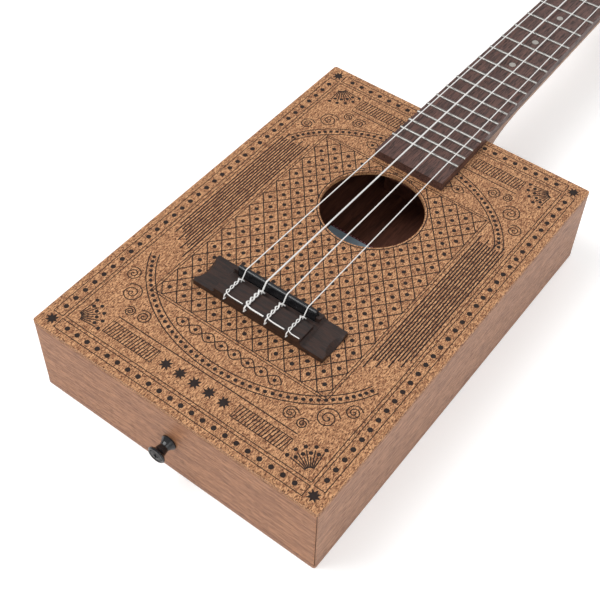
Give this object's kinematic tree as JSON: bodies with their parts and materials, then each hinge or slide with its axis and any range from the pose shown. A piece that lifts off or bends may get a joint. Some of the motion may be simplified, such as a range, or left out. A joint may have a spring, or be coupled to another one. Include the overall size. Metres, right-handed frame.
{
  "type": "box ukulele",
  "caption": "Concert-size ukulele with a flat box body, round sound hole, engraved soundboard, tied-string bridge and open worm-geared tuners that turn.",
  "frame": {"origin": "centre of the lower face of the back, which lies on the table", "axes": "+X towards the treble side, +Y towards the headstock, +Z out of the soundboard"},
  "size_m": [0.176, 0.5859, 0.0636],
  "materials": {
    "soundboard": "satin, dark flecked grain",
    "side_wood": "satin",
    "inner_wood": "unfinished",
    "neck_wood": "satin",
    "board_wood": "oiled",
    "bridge_wood": "oiled",
    "black_plastic": "gloss",
    "black_metal": "gloss",
    "marker": "polished",
    "label": "matte",
    "nylon": "gloss",
    "steel": "nickel plated",
    "brass": "plain"
  },
  "bodies": {
    "instrument": {"soundboard": "soundboard", "back": "side_wood", "side_bass": "side_wood", "side_treble": "side_wood", "side_tail": "side_wood", "side_neck": "side_wood", "neck_block": "inner_wood", "tail_block": "inner_wood", "lining_top_bass": "inner_wood", "lining_top_treble": "inner_wood", "lining_back_bass": "inner_wood", "lining_back_treble": "inner_wood", "top_brace_upper": "inner_wood", "top_brace_lower": "inner_wood", "bridge_patch": "inner_wood", "back_brace_upper": "inner_wood", "back_brace_lower": "inner_wood", "label": "label", "strap_button": "black_plastic", "strap_button_screw": "black_metal", "bridge": "bridge_wood", "saddle": "black_plastic", "neck": "neck_wood", "fretboard": "board_wood", "nut": "black_plastic", "marker_5": "marker", "marker_7": "marker", "marker_9": "marker", "string_g": "nylon", "string_c": "nylon", "string_e": "nylon", "string_a": "nylon", "plate_g": "steel", "plate_c": "steel", "plate_e": "steel", "plate_a": "steel", "bushing_g": "steel", "bushing_c": "steel", "bushing_e": "steel", "bushing_a": "steel"},
    "worm_g": {"worm_shaft_g": "steel", "knob_g": "black_plastic"},
    "post_g": {"post_g": "steel", "gear_g": "brass"},
    "worm_c": {"worm_shaft_c": "steel", "knob_c": "black_plastic"},
    "post_c": {"post_c": "steel", "gear_c": "brass"},
    "worm_e": {"worm_shaft_e": "steel", "knob_e": "black_plastic"},
    "post_e": {"post_e": "steel", "gear_e": "brass"},
    "worm_a": {"worm_shaft_a": "steel", "knob_a": "black_plastic"},
    "post_a": {"post_a": "steel", "gear_a": "brass"}
  },
  "joints": [
    {"name": "worm_g_turn", "type": "hinge", "parent": "instrument", "child": "worm_g", "pos_m": [-0.0175, 0.37072, 0.02905], "axis": [1, 0, 0], "continuous": true},
    {"name": "post_g_turn", "type": "hinge", "parent": "instrument", "child": "post_g", "pos_m": [-0.0175, 0.38025, 0.0441], "axis": [0, 0.2079, 0.9781], "continuous": true},
    {"name": "worm_c_turn", "type": "hinge", "parent": "instrument", "child": "worm_c", "pos_m": [-0.0205, 0.40593, 0.02157], "axis": [1, 0, 0], "continuous": true},
    {"name": "post_c_turn", "type": "hinge", "parent": "instrument", "child": "post_c", "pos_m": [-0.0205, 0.41547, 0.03661], "axis": [0, 0.2079, 0.9781], "continuous": true},
    {"name": "worm_e_turn", "type": "hinge", "parent": "instrument", "child": "worm_e", "pos_m": [0.0205, 0.40593, 0.02157], "axis": [1, 0, 0], "continuous": true},
    {"name": "post_e_turn", "type": "hinge", "parent": "instrument", "child": "post_e", "pos_m": [0.0205, 0.41547, 0.03661], "axis": [0, 0.2079, 0.9781], "continuous": true},
    {"name": "worm_a_turn", "type": "hinge", "parent": "instrument", "child": "worm_a", "pos_m": [0.0175, 0.37072, 0.02905], "axis": [1, 0, 0], "continuous": true},
    {"name": "post_a_turn", "type": "hinge", "parent": "instrument", "child": "post_a", "pos_m": [0.0175, 0.38025, 0.0441], "axis": [0, 0.2079, 0.9781], "continuous": true}
  ],
  "couplings": [
    {"joint": "post_g_turn", "follows": "worm_g_turn", "ratio": -0.071429},
    {"joint": "post_c_turn", "follows": "worm_c_turn", "ratio": -0.071429},
    {"joint": "post_e_turn", "follows": "worm_e_turn", "ratio": -0.071429},
    {"joint": "post_a_turn", "follows": "worm_a_turn", "ratio": -0.071429}
  ]
}
